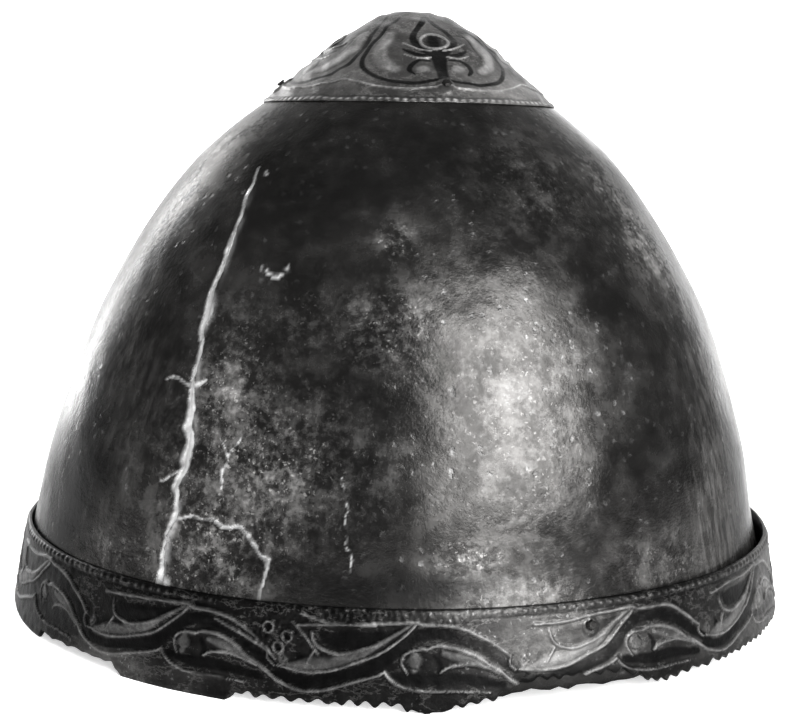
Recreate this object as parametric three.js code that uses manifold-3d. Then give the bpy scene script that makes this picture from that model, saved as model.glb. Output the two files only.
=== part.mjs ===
// A pointed one-piece iron helmet with a light metal crown plate and brow band, both in relief.
// Millimetres, +Z up. The helmet rests on its rim at Z 0, and the side that shows faces -Y, with +X to the right.
// Angles are degrees round the helmet from the front (-Y) towards +X.

import * as THREE from 'three';
import { mergeVertices } from 'three/addons/utils/BufferGeometryUtils.js';
import Module from 'manifold-3d';

const wasm = await Module();
wasm.setup();

// The iron bowl, measured on its outside
const RIM_WIDTH = 234.6;
const RIM_DEPTH = 225.2;
const BOWL_HEIGHT = 177;
const IRON_WALL = 2;
const TIP_LEAN = 2;
const CRACK_DEPTH = 0.8;
const CRACK_WIDTH = 2.6;

// Room between two pieces that touch on the real helmet
const CLEARANCE = 0.3;

// The band round the brow
const BAND_HEIGHT = 24.8;
const BAND_WALL = 1;
const BAND_RELIEF = 0.6;
const BAND_MOULDING = 1.8;
const BORDER_HEIGHT = 3;
const SPRUNG_GAP = 2.4;
const SLOT_WIDTH = 2;
const SLOT_HEIGHT = 5;

// The row of edge holes along which the border broke off
const HOLE_PITCH = 4.1;
const HOLE_WIDTH = 1.9;
const TOOTH_HEIGHT = 1.6;

// The plate on the tip
const PLATE_HEIGHT = 27;
const PLATE_WALL = 0.8;
const PLATE_RELIEF = 0.5;
const PLATE_MOULDING = 1.8;

// Rivets
const RIVET_RADIUS = 0.9;
const RIVET_HEAD_RADIUS = 1.5;
const RIVET_HEAD_RISE = 0.6;
const BAND_RIVET_HEIGHT = 18.5;
const CROWN_RIVET_RISE = 4.2;

// Repeats of the ornament and the angle of one crest of the vine and of one palmette's middle
const VINE_REPEATS = 12;
const VINE_ANGLE = 2.7;
const PALMETTE_REPEATS = 4;
const PALMETTE_ANGLE = 15;

// Facets round the bowl, the band and the plate, and rows along the bowl's outline
const COLUMNS = 48;
const PLATE_COLUMNS = 24;
const BARE_ROWS = 5;
const TIP_ROWS = [0.35, 0.65, 0.85, 0.95, 1];
const BAND_STEP = 7.5;
const PLATE_STEP = 15;

// A corner this near to a straight line or flat face is left out
const SMALLEST_BEND = 0.05;

// The bowl's outline: height and reach are shares of its height and half width, lean is a share of TIP_LEAN
const OUTLINE = [
  { height: 0, reach: 1, lean: 0 },
  { height: 0.14, reach: 0.95, lean: -0.4 },
  { height: 0.27, reach: 0.91, lean: -0.12 },
  { height: 0.39, reach: 0.855, lean: 0.2 },
  { height: 0.523, reach: 0.778, lean: 0.4 },
  { height: 0.654, reach: 0.661, lean: 0.4 },
  { height: 0.775, reach: 0.513, lean: 0.4 },
  { height: 0.876, reach: 0.32, lean: 0.7 },
  { height: 0.947, reach: 0.193, lean: 1 },
  { height: 0.9825, reach: 0.112, lean: 1 },
  { height: 0.996, reach: 0.06, lean: 1 },
  { height: 1, reach: 0, lean: 1 },
];

// How high the lower edges stand by angle: shares of BORDER_HEIGHT, for the band and for the iron behind it
const LOWER_EDGE = [
  { angle: -180, band: 0, iron: 0 },
  { angle: -60, band: 0, iron: 0 },
  { angle: -54, band: 0.7, iron: 1 },
  { angle: -39, band: 0.9, iron: 1.2 },
  { angle: -37, band: 0, iron: 1.2 },
  { angle: -21, band: 0, iron: 1.2 },
  { angle: -19, band: 0.75, iron: 1.2 },
  { angle: 1, band: 0.7, iron: 1 },
  { angle: 3, band: 0.15, iron: 1 },
  { angle: 6, band: 0.15, iron: 0.9 },
  { angle: 8, band: 0.6, iron: 0.9 },
  { angle: 12, band: 1, iron: 1.1 },
  { angle: 17, band: 2.4, iron: 1.35 },
  { angle: 30, band: 2.2, iron: 1.3 },
  { angle: 36, band: 0.6, iron: 1.1 },
  { angle: 44, band: 0.85, iron: 1.2 },
  { angle: 80, band: 0.6, iron: 1 },
  { angle: 96, band: 0, iron: 0 },
  { angle: 180, band: 0, iron: 0 },
];

// How far the band has sprung off the bowl at its top edge: shares of SPRUNG_GAP
const SPRUNG = [
  { angle: -180, share: 0 },
  { angle: -100, share: 0 },
  { angle: -78, share: 0.25 },
  { angle: -50, share: 0 },
  { angle: 26, share: 0 },
  { angle: 50, share: 0.55 },
  { angle: 75, share: 1 },
  { angle: 95, share: 1 },
  { angle: 120, share: 0 },
  { angle: 180, share: 0 },
];

// Rivets of the band that are left, and the slot where one has torn out
const BAND_RIVET_ANGLES = [26, 131, 183, 235];
const SLOT_ANGLE = -79;
const SLOT_SHARE = 0.4;

// The crack, from its top down to the band: height and width are shares of BOWL_HEIGHT and CRACK_WIDTH
const CRACK = [
  { angle: -36.6, height: 0.685, width: 0.25 },
  { angle: -35.5, height: 0.62, width: 0.5 },
  { angle: -35, height: 0.546, width: 1 },
  { angle: -34.3, height: 0.488, width: 0.5 },
  { angle: -33.9, height: 0.424, width: 1 },
  { angle: -32.2, height: 0.347, width: 1 },
  { angle: -31.8, height: 0.305, width: 0.9 },
  { angle: -33.1, height: 0.275, width: 0.7 },
  { angle: -31.5, height: 0.241, width: 0.8 },
  { angle: -33.1, height: 0.21, width: 0.5 },
  { angle: -32.2, height: 0.152, width: 0.6 },
];
const CRACK_BRANCH = [
  { angle: -31.3, height: 0.243, width: 0.4 },
  { angle: -23.7, height: 0.24, width: 0.4 },
  { angle: -19.7, height: 0.228, width: 0.5 },
  { angle: -16.6, height: 0.195, width: 0.6 },
  { angle: -17.8, height: 0.15, width: 0.4 },
];

// Raised lines and leaves of the vine: along is a share of one repeat from its crest,
// up and width are shares of the height of the field between the border and the moulding
const VINE = {
  upperRidge: [
    { along: -0.62, up: 0.53, width: 0.07 },
    { along: -0.52, up: 0.74, width: 0.07 },
    { along: -0.38, up: 0.86, width: 0.07 },
    { along: 0.02, up: 0.95, width: 0.07 },
    { along: 0.17, up: 0.89, width: 0.07 },
    { along: 0.27, up: 0.77, width: 0.07 },
    { along: 0.38, up: 0.53, width: 0.07 },
  ],
  lowerRidge: [
    { along: -0.48, up: 0.1, width: 0.07 },
    { along: -0.28, up: 0.16, width: 0.07 },
    { along: -0.1, up: 0.36, width: 0.07 },
    { along: 0.02, up: 0.13, width: 0.07 },
    { along: 0.52, up: 0.1, width: 0.07 },
  ],
  lowerLeaf: [
    { along: 0.06, up: 0.53, width: 0.12 },
    { along: 0.15, up: 0.54, width: 0.2 },
    { along: 0.25, up: 0.47, width: 0.15 },
    { along: 0.35, up: 0.32, width: 0.09 },
    { along: 0.48, up: 0.13, width: 0.05 },
  ],
  lowerBud: [
    { along: 0, up: 0.33, width: 0.12 },
    { along: 0, up: 0.47, width: 0.26 },
    { along: 0, up: 0.61, width: 0.12 },
  ],
  upperLeaf: [
    { along: 0.49, up: 0.35, width: 0.14 },
    { along: 0.6, up: 0.42, width: 0.2 },
    { along: 0.74, up: 0.5, width: 0.15 },
    { along: 0.87, up: 0.69, width: 0.08 },
    { along: 0.98, up: 0.9, width: 0.05 },
  ],
  upperBud: [
    { along: 0.46, up: 0.33, width: 0.06 },
    { along: 0.455, up: 0.46, width: 0.16 },
    { along: 0.46, up: 0.59, width: 0.06 },
  ],
};

// Raised parts of one half of a palmette: along is a share of half a repeat from its middle,
// up and width are shares of PLATE_HEIGHT
const PALMETTE = {
  lobe: [
    { along: 0.2, up: 0.36, width: 0.14 },
    { along: 0.33, up: 0.3, width: 0.13 },
    { along: 0.58, up: 0.3, width: 0.13 },
    { along: 0.78, up: 0.44, width: 0.13 },
    { along: 0.78, up: 0.66, width: 0.1 },
    { along: 0.62, up: 0.82, width: 0.05 },
  ],
  tongue: [
    { along: 0.13, up: 0.5, width: 0.05 },
    { along: 0.27, up: 0.54, width: 0.08 },
    { along: 0.45, up: 0.62, width: 0.05 },
  ],
  ogee: [
    { along: -0.03, up: 0.235, width: 0.06 },
    { along: 0.25, up: 0.155, width: 0.06 },
    { along: 1.03, up: 0.17, width: 0.06 },
  ],
};
// How much of a lobe's width its flat top keeps; every other raised form ends in a ridge
const LOBE_TOP = 0.7;

const RING_UP = 0.64;
const RING_RADIUS = 0.12;
const RING_WIDTH = 0.07;
const RING_SIDES = 8;

// Colours and surfaces of the two metals
const IRON = { color: 0x3b3a38, roughness: 0.45, metalness: 0.85 };
const SILVERED = { color: 0x8a8983, roughness: 0.4, metalness: 0.9 };

const radians = THREE.MathUtils.degToRad;

// A value read off a table at an angle between -180 and 180, on straight lines between its rows
function atAngle(table, angle, column) {
  const turned = THREE.MathUtils.euclideanModulo(angle + 180, 360) - 180;
  const after = table.findIndex((row) => row.angle > turned);
  if (after < 1) return table[table.length - 1][column];
  const low = table[after - 1];
  const high = table[after];
  return THREE.MathUtils.mapLinear(turned, low.angle, high.angle, low[column], high[column]);
}

// The outline's curve in (reach, height), and the lean of the bowl's axis in (lean, height)
const outlineCurve = new THREE.SplineCurve(
  OUTLINE.map((row) => new THREE.Vector2(row.reach * RIM_WIDTH / 2, row.height * BOWL_HEIGHT)),
);
const leanCurve = new THREE.SplineCurve(
  OUTLINE.map((row) => new THREE.Vector2(row.lean * TIP_LEAN, row.height * BOWL_HEIGHT)),
);

// The curve's own parameter at a height, by halving
function parameterAt(curve, height) {
  let low = 0;
  let high = 1;
  for (let step = 0; step < 30; step += 1) {
    const middle = (low + high) / 2;
    if (curve.getPoint(middle).y < height) low = middle;
    else high = middle;
  }
  return (low + high) / 2;
}

// A point on the bowl's wall: its outline's parameter, the angle, and how far it lies outside the iron
function wallPoint(parameter, angle, offset) {
  const point = outlineCurve.getPoint(parameter);
  const tangent = outlineCurve.getTangent(parameter);
  const reach = parameter < 1 ? Math.max(point.x + tangent.y * offset, 0) : 0;
  const height = point.y - tangent.x * offset;
  const lean = leanCurve.getPoint(parameterAt(leanCurve, Math.min(point.y, BOWL_HEIGHT))).x;
  const turn = radians(angle);
  return [lean + reach * Math.sin(turn), -reach * (RIM_DEPTH / RIM_WIDTH) * Math.cos(turn), height];
}

// The same at a given height, measured level from the wall, for edges that end on a flat plane
function levelPoint(height, angle, offset) {
  const parameter = parameterAt(outlineCurve, height);
  const tangent = outlineCurve.getTangent(parameter);
  const stretch = 1 / Math.max(tangent.y, 0.2);
  const point = outlineCurve.getPoint(parameter);
  const lean = leanCurve.getPoint(parameterAt(leanCurve, height)).x;
  const reach = point.x + offset * stretch;
  const turn = radians(angle);
  return [lean + reach * Math.sin(turn), -reach * (RIM_DEPTH / RIM_WIDTH) * Math.cos(turn), height];
}

// A closed mesh from points and triangles, with its faces turned outwards
function closedGeometry(points, triangles) {
  const raw = new THREE.BufferGeometry();
  raw.setAttribute('position', new THREE.Float32BufferAttribute(points.flat(), 3));
  raw.setIndex(triangles.flat());
  const geometry = mergeVertices(raw, 1e-3);
  const position = geometry.getAttribute('position');
  const index = geometry.getIndex();
  const corner = [new THREE.Vector3(), new THREE.Vector3(), new THREE.Vector3()];
  let volume = 0;
  for (let start = 0; start < index.count; start += 3) {
    corner.forEach((vertex, k) => vertex.fromBufferAttribute(position, index.getX(start + k)));
    volume += corner[0].dot(corner[1].clone().cross(corner[2])) / 6;
  }
  if (volume < 0) geometry.setIndex(Array.from(index.array).reverse());
  return geometry;
}

function toSolid(geometry) {
  const vertProperties = new Float32Array(geometry.getAttribute('position').array);
  const triVerts = new Uint32Array(geometry.getIndex().array);
  return new wasm.Manifold(new wasm.Mesh({ numProp: 3, vertProperties, triVerts }));
}

function toGeometry(solid) {
  const mesh = solid.simplify(SMALLEST_BEND).getMesh();
  const geometry = new THREE.BufferGeometry();
  geometry.setAttribute('position', new THREE.BufferAttribute(new Float32Array(mesh.vertProperties), 3));
  geometry.setIndex(new THREE.BufferAttribute(new Uint32Array(mesh.triVerts), 1));
  geometry.computeVertexNormals();
  return geometry;
}

// Quads between two loops of points, where loop n starts at n times count
function bandOfQuads(first, second, count, wraps) {
  const quads = [];
  for (let k = 0; k < (wraps ? count : count - 1); k += 1) {
    const next = (k + 1) % count;
    const a = first * count + k;
    const b = first * count + next;
    const c = second * count + next;
    const d = second * count + k;
    quads.push([a, b, c], [a, c, d]);
  }
  return quads;
}

// A ring-shaped solid: section(angle) gives the points of its closed cross-section
function ringSolid(columns, section) {
  const loops = [];
  for (let k = 0; k < columns; k += 1) loops.push(section(-180 + (360 * k) / columns));
  const count = loops[0].length;
  const triangles = loops.flatMap((_, k) => bandOfQuads(k, (k + 1) % columns, count, true));
  return closedGeometry(loops.flat(), triangles);
}

// A cap-shaped solid: section(angle) gives the points from the outer tip down and up again to the inner tip
function capSolid(columns, section) {
  const loops = [];
  for (let k = 0; k < columns; k += 1) loops.push(section(-180 + (360 * k) / columns));
  const count = loops[0].length;
  const triangles = loops.flatMap((_, k) => bandOfQuads(k, (k + 1) % columns, count, false));
  const apart = triangles.filter(([a, b, c]) => {
    const points = [a, b, c].map((n) => loops.flat()[n].map((value) => value.toFixed(3)).join());
    return new Set(points).size === 3;
  });
  return closedGeometry(loops.flat(), apart);
}

// Stations with every long step divided, so that a ribbon follows the wall's bend
function withShortSteps(stations, longest) {
  const divided = [stations[0]];
  for (let k = 1; k < stations.length; k += 1) {
    const from = stations[k - 1];
    const to = stations[k];
    const parts = Math.ceil(Math.abs(to.angle - from.angle) / longest);
    for (let part = 1; part <= Math.max(parts, 1); part += 1) {
      const share = part / Math.max(parts, 1);
      divided.push({
        angle: THREE.MathUtils.lerp(from.angle, to.angle, share),
        height: THREE.MathUtils.lerp(from.height, to.height, share),
        width: THREE.MathUtils.lerp(from.width, to.width, share),
      });
    }
  }
  return divided;
}

// A raised ribbon along a wall, with sloping sides. place(angle, height, offset) puts a point on the wall, and
// each station has its angle, height and width. It reaches from low to high outside the wall, and its top is
// that share of its width, or a sharp ridge where the share is 0.
function ribbonSolid(place, stations, low, high, topShare) {
  const spots = stations.map((station) => new THREE.Vector3(...place(station.angle, station.height, low)));
  const loops = stations.map((station, k) => {
    const centre = spots[k];
    const raised = new THREE.Vector3(...place(station.angle, station.height, high));
    const outward = raised.clone().sub(centre);
    const before = spots[Math.max(k - 1, 0)];
    const after = spots[Math.min(k + 1, spots.length - 1)];
    const side = after.clone().sub(before).cross(outward).normalize();
    const base = side.clone().multiplyScalar(station.width / 2);
    const top = side.clone().multiplyScalar((station.width / 2) * topShare);
    const crown = topShare > 0 ? [raised.clone().add(top), raised.clone().sub(top)] : [raised];
    const corners = [centre.clone().add(base), ...crown, centre.clone().sub(base)];
    return corners.map((corner) => corner.toArray());
  });
  const count = loops[0].length;
  const last = (loops.length - 1) * count;
  const triangles = [];
  for (let k = 0; k < loops.length - 1; k += 1) triangles.push(...bandOfQuads(k, k + 1, count, true));
  for (let k = 1; k < count - 1; k += 1) triangles.push([0, k + 1, k], [last, last + k, last + k + 1]);
  return toSolid(closedGeometry(loops.flat(), triangles));
}

// A round peg along a wall's outward direction, given as (radius, offset) pairs from the inside out
function pegGeometry(place, angle, height, profile, sides) {
  const foot = new THREE.Vector3(...place(angle, height, 0));
  const outward = new THREE.Vector3(...place(angle, height, 1)).sub(foot).normalize();
  const lathe = new THREE.LatheGeometry(profile.map(([radius, offset]) => new THREE.Vector2(radius, offset)), sides);
  lathe.deleteAttribute('normal');
  lathe.deleteAttribute('uv');
  lathe.applyQuaternion(new THREE.Quaternion().setFromUnitVectors(new THREE.Vector3(0, 1, 0), outward));
  lathe.translate(foot.x, foot.y, foot.z);
  const merged = mergeVertices(lathe, 1e-4);
  const position = merged.getAttribute('position');
  const kept = [];
  const index = merged.getIndex().array;
  for (let start = 0; start < index.length; start += 3) {
    const [a, b, c] = index.slice(start, start + 3);
    if (a !== b && b !== c && a !== c) kept.push([a, b, c]);
  }
  const points = [];
  for (let k = 0; k < position.count; k += 1) points.push([position.getX(k), position.getY(k), position.getZ(k)]);
  return closedGeometry(points, kept);
}

function joined(solids) {
  return wasm.Manifold.union(solids);
}

const edgeHeight = (angle, piece) => atAngle(LOWER_EDGE, angle, piece) * BORDER_HEIGHT;

// Walls are placed by height alone: on the bowl, on the sprung band, and on the crown plate
const onBowl = (angle, height, offset) => wallPoint(parameterAt(outlineCurve, height), angle, offset);

function bandOffset(angle, height) {
  return CLEARANCE + (SPRUNG_GAP * atAngle(SPRUNG, angle, 'share') * height) / BAND_HEIGHT;
}

const onBand = (angle, height, offset) => levelPoint(height, angle, bandOffset(angle, height) + offset);

const RIVET_HOLE = RIVET_RADIUS + CLEARANCE;
const RIVET_SIDES = 6;

function rivetHole(place, angle, height) {
  const reach = IRON_WALL * 3;
  const profile = [[0, -reach], [RIVET_HOLE, -reach], [RIVET_HOLE, reach], [0, reach]];
  return toSolid(pegGeometry(place, angle, height, profile, RIVET_SIDES));
}

const crownRivetHeight = BOWL_HEIGHT - PLATE_HEIGHT + CROWN_RIVET_RISE;
const crownRivetAngles = Array.from(
  { length: PALMETTE_REPEATS },
  (_, k) => PALMETTE_ANGLE + (360 * k) / PALMETTE_REPEATS,
);

// Broken holes along the front of the band's lower edge, as wedges that cut through it
function toothGaps() {
  const pitch = THREE.MathUtils.radToDeg(HOLE_PITCH / (RIM_WIDTH / 2));
  const half = THREE.MathUtils.radToDeg(HOLE_WIDTH / RIM_WIDTH);
  const steps = Math.floor(360 / pitch);
  const angles = Array.from({ length: steps }, (_, k) => -180 + k * pitch);
  const broken = angles.filter((angle) => edgeHeight(angle, 'band') > BORDER_HEIGHT / 4);
  return joined(broken.map((angle) => {
    const edge = edgeHeight(angle, 'band');
    const bottom = Math.max(edge - TOOTH_HEIGHT, 0);
    const top = edge + TOOTH_HEIGHT / 2;
    const corners = [-BAND_WALL, BAND_WALL * 3].flatMap((offset) => [
      onBand(angle - half, bottom, offset),
      onBand(angle + half, bottom, offset),
      onBand(angle + half / 2, top, offset),
      onBand(angle - half / 2, top, offset),
    ]);
    const ends = [[0, 1, 2], [0, 2, 3], [4, 6, 5], [4, 7, 6]];
    const sides = bandOfQuads(0, 1, 4, true).map(([a, b, c]) => [a, c, b]);
    return toSolid(closedGeometry(corners, [...ends, ...sides]));
  }));
}

// Parameters of the rows above the rim: the band's top, the bare iron, the plate's edge, and on up to the tip
const bandTop = parameterAt(outlineCurve, BAND_HEIGHT);
const plateEdge = parameterAt(outlineCurve, BOWL_HEIGHT - PLATE_HEIGHT);
const bareRows = Array.from({ length: BARE_ROWS }, (_, k) => bandTop + ((plateEdge - bandTop) * k) / BARE_ROWS);
const tipRows = TIP_ROWS.map((share) => plateEdge + (1 - plateEdge) * share);
const bowlRows = [...bareRows, plateEdge, ...tipRows];

function buildBowl() {
  const shell = capSolid(COLUMNS, (angle) => {
    const rim = edgeHeight(angle, 'iron');
    const outside = bowlRows.slice().reverse().map((t) => wallPoint(t, angle, 0));
    const inside = bowlRows.map((t) => wallPoint(t, angle, -IRON_WALL));
    return [...outside, levelPoint(rim, angle, 0), levelPoint(rim, angle, -IRON_WALL), ...inside];
  });
  const cuts = [CRACK, CRACK_BRANCH].map((path) => {
    const stations = path.map((row) => ({
      angle: row.angle,
      height: row.height * BOWL_HEIGHT,
      width: row.width * CRACK_WIDTH,
    }));
    return ribbonSolid(onBowl, stations, -CRACK_DEPTH, CRACK_DEPTH, 1);
  });
  cuts.push(...BAND_RIVET_ANGLES.map((angle) => rivetHole(onBowl, angle, BAND_RIVET_HEIGHT)));
  cuts.push(...crownRivetAngles.map((angle) => rivetHole(onBowl, angle, crownRivetHeight)));
  return toGeometry(toSolid(shell).subtract(joined(cuts)));
}

function vineStations(table, repeat) {
  const low = BORDER_HEIGHT;
  const field = BAND_HEIGHT - BAND_MOULDING - BORDER_HEIGHT;
  return table.map((row) => ({
    angle: VINE_ANGLE + (360 / VINE_REPEATS) * (repeat + row.along),
    height: low + field * row.up,
    width: field * row.width,
  }));
}

function buildBand() {
  const moulding = BAND_RELIEF * 0.75;
  const wall = ringSolid(COLUMNS, (angle) => {
    const bottom = edgeHeight(angle, 'band');
    const heights = [bottom, (bottom + BAND_HEIGHT) / 2, BAND_HEIGHT];
    const inside = heights.map((height) => onBand(angle, height, 0));
    const outside = [
      onBand(angle, BAND_HEIGHT, BAND_WALL),
      onBand(angle, BAND_HEIGHT - BAND_MOULDING / 2, BAND_WALL + moulding),
      onBand(angle, BAND_HEIGHT - BAND_MOULDING, BAND_WALL),
      onBand(angle, bottom, BAND_WALL),
    ];
    return [...inside, ...outside];
  });
  const sunk = BAND_WALL * 0.6;
  const raised = BAND_WALL + BAND_RELIEF;
  const relief = [];
  for (let repeat = 0; repeat < VINE_REPEATS; repeat += 1) {
    for (const table of Object.values(VINE)) {
      const stations = withShortSteps(vineStations(table, repeat), BAND_STEP);
      relief.push(ribbonSolid(onBand, stations, sunk, raised, 0));
    }
  }
  const slotHeight = BORDER_HEIGHT + SLOT_SHARE * (BAND_HEIGHT - BORDER_HEIGHT);
  const slot = ribbonSolid(onBand, [-1, 1].map((end) => ({
    angle: SLOT_ANGLE,
    height: slotHeight + (end * SLOT_HEIGHT) / 2,
    width: SLOT_WIDTH,
  })), -BAND_WALL, raised * 2, 1);
  const holes = BAND_RIVET_ANGLES.map((angle) => rivetHole(onBowl, angle, BAND_RIVET_HEIGHT));
  const broken = lostReliefCutter();
  const body = joined([toSolid(wall), joined(relief).subtract(broken)]);
  return toGeometry(body.subtract(joined([toothGaps(), slot, ...holes])));
}

// What is left of the relief ends at the band's broken edge
function lostReliefCutter() {
  const ring = ringSolid(COLUMNS, (angle) => {
    const top = edgeHeight(angle, 'band') + CLEARANCE / 2;
    const reach = (BAND_WALL + BAND_RELIEF) * 4;
    return [
      levelPoint(0, angle, -reach).map((value, axis) => (axis === 2 ? -reach : value)),
      levelPoint(top, angle, -reach),
      levelPoint(top, angle, reach),
      levelPoint(0, angle, reach).map((value, axis) => (axis === 2 ? -reach : value)),
    ];
  });
  return toSolid(ring);
}

function palmetteStations(table, repeat, hand) {
  const half = 180 / PALMETTE_REPEATS;
  const low = BOWL_HEIGHT - PLATE_HEIGHT;
  return table.map((row) => ({
    angle: PALMETTE_ANGLE + half * (2 * repeat + hand * row.along),
    height: low + row.up * PLATE_HEIGHT,
    width: row.width * PLATE_HEIGHT,
  }));
}

function ringStations(repeat) {
  const height = BOWL_HEIGHT - PLATE_HEIGHT + RING_UP * PLATE_HEIGHT;
  const reach = outlineCurve.getPoint(parameterAt(outlineCurve, height)).x;
  const tall = RING_RADIUS * PLATE_HEIGHT;
  const wide = THREE.MathUtils.radToDeg((RING_RADIUS * PLATE_HEIGHT * 1.25) / reach);
  const middle = PALMETTE_ANGLE + (360 / PALMETTE_REPEATS) * repeat;
  const turns = Array.from({ length: RING_SIDES + 1 }, (_, k) => (2.05 * Math.PI * k) / RING_SIDES);
  return turns.map((turn) => ({
    angle: middle + wide * Math.sin(turn),
    height: height + tall * Math.cos(turn),
    width: RING_WIDTH * PLATE_HEIGHT,
  }));
}

// The plate has fewer facets than the bowl, so its faces stand off by as much as their middles fall inside
function plateStand(parameter) {
  const reach = outlineCurve.getPoint(parameter).x;
  return CLEARANCE + reach * (1 - Math.cos(Math.PI / PLATE_COLUMNS));
}

const onPlate = (angle, height, offset) => {
  const parameter = parameterAt(outlineCurve, height);
  return wallPoint(parameter, angle, plateStand(parameter) + offset);
};

function buildPlate() {
  const moulded = parameterAt(outlineCurve, BOWL_HEIGHT - PLATE_HEIGHT + PLATE_MOULDING / 2);
  const plain = parameterAt(outlineCurve, BOWL_HEIGHT - PLATE_HEIGHT + PLATE_MOULDING);
  const shell = capSolid(PLATE_COLUMNS, (angle) => {
    const at = (parameter, offset) => wallPoint(parameter, angle, plateStand(parameter) + offset);
    const outside = tipRows.slice().reverse().map((parameter) => at(parameter, PLATE_WALL));
    const rim = [
      at(plain, PLATE_WALL),
      at(moulded, PLATE_WALL + PLATE_RELIEF * 0.75),
      at(plateEdge, PLATE_WALL),
      at(plateEdge, 0),
    ];
    const inside = tipRows.map((parameter) => at(parameter, 0));
    return [...outside, ...rim, ...inside];
  });
  const sunk = PLATE_WALL * 0.5;
  const raised = PLATE_WALL + PLATE_RELIEF;
  const relief = [];
  for (let repeat = 0; repeat < PALMETTE_REPEATS; repeat += 1) {
    relief.push(ribbonSolid(onPlate, ringStations(repeat), sunk, raised, 0));
    for (const [form, table] of Object.entries(PALMETTE)) {
      for (const hand of [-1, 1]) {
        const stations = withShortSteps(palmetteStations(table, repeat, hand), PLATE_STEP);
        relief.push(ribbonSolid(onPlate, stations, sunk, raised, form === 'lobe' ? LOBE_TOP : 0));
      }
    }
  }
  const holes = crownRivetAngles.map((angle) => rivetHole(onBowl, angle, crownRivetHeight));
  return toGeometry(joined([toSolid(shell), ...relief]).subtract(joined(holes)));
}

// A rivet through the iron and the metal outside it, with a low head on both sides
function rivetGeometry(angle, height, outside) {
  const inner = -IRON_WALL - CLEARANCE * 2;
  const outer = outside + CLEARANCE;
  const profile = [
    [0, inner - RIVET_HEAD_RISE],
    [RIVET_HEAD_RADIUS * 0.7, inner - RIVET_HEAD_RISE],
    [RIVET_HEAD_RADIUS, inner],
    [RIVET_RADIUS, inner],
    [RIVET_RADIUS, outer],
    [RIVET_HEAD_RADIUS, outer],
    [RIVET_HEAD_RADIUS * 0.7, outer + RIVET_HEAD_RISE],
    [0, outer + RIVET_HEAD_RISE],
  ];
  return pegGeometry(onBowl, angle, height, profile, RIVET_SIDES);
}

function meshOf(name, geometry, finish) {
  const mesh = new THREE.Mesh(geometry, new THREE.MeshStandardMaterial(finish));
  mesh.name = name;
  return mesh;
}

const helmet = new THREE.Group();
helmet.name = 'helmet';
helmet.add(meshOf('bowl', buildBowl(), IRON));
helmet.add(meshOf('crown_plate', buildPlate(), SILVERED));
helmet.add(meshOf('brow_band', buildBand(), SILVERED));
BAND_RIVET_ANGLES.forEach((angle, k) => {
  const outside = CLEARANCE + BAND_WALL + BAND_RELIEF;
  helmet.add(meshOf(`band_rivet_${k + 1}`, rivetGeometry(angle, BAND_RIVET_HEIGHT, outside), IRON));
});
crownRivetAngles.forEach((angle, k) => {
  const outside = CLEARANCE + PLATE_WALL + PLATE_RELIEF;
  helmet.add(meshOf(`crown_rivet_${k + 1}`, rivetGeometry(angle, crownRivetHeight, outside), IRON));
});

export default helmet;
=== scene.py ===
"""Looks of a pointed iron helmet with a crown plate and a brow band in low relief."""

import logging
import math
from dataclasses import dataclass
from enum import Enum

import bpy
import numpy as np
from mathutils import Matrix, Vector

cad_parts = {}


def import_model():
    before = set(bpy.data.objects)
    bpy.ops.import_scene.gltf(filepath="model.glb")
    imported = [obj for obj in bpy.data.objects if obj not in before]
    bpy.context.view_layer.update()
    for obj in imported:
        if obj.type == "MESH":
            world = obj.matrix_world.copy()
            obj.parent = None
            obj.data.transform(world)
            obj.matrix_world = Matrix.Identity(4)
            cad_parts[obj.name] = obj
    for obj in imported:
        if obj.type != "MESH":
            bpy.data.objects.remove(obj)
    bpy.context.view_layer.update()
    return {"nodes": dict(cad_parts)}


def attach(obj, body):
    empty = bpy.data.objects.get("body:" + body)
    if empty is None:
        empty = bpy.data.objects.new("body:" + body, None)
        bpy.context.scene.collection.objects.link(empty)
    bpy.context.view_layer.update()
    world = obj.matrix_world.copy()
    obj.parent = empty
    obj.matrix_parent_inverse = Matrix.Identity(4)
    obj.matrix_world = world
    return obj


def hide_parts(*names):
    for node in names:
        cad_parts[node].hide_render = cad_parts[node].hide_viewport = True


log = logging.getLogger("helmet")
MM = 0.001


@dataclass(frozen=True)
class Bowl:
    """The iron bowl's outline, as the part's source has it, in millimetres."""

    width: float = 234.6
    depth: float = 225.2
    height: float = 177.0
    wall: float = 2.0
    lean: float = 2.0
    clearance: float = 0.3
    rows: tuple[tuple[float, float, float], ...] = (
        (0, 1, 0), (0.14, 0.95, -0.4), (0.27, 0.91, -0.12), (0.39, 0.855, 0.2),
        (0.523, 0.778, 0.4), (0.654, 0.661, 0.4), (0.775, 0.513, 0.4), (0.876, 0.32, 0.7),
        (0.947, 0.193, 1), (0.9825, 0.112, 1), (0.996, 0.06, 1), (1, 0, 1),
    )


BOWL = Bowl()


def spline(points: np.ndarray, count: int) -> np.ndarray:
    """A uniform Catmull-Rom curve through points.

    Args:
        points: The points, one a row.
        count: How many samples to take.

    Returns:
        The samples, evenly spaced in the curve's own parameter.
    """
    spans = len(points) - 1
    t = np.linspace(0, spans, count)
    i = np.minimum(t.astype(int), spans - 1)
    w = (t - i)[:, None]
    p0, p1 = points[np.maximum(i - 1, 0)], points[i]
    p2, p3 = points[i + 1], points[np.minimum(i + 2, spans)]
    v0, v1 = (p2 - p0) / 2, (p3 - p1) / 2
    return (2 * p1 - 2 * p2 + v0 + v1) * w**3 + (-3 * p1 + 3 * p2 - 2 * v0 - v1) * w**2 + v0 * w + p1


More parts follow.
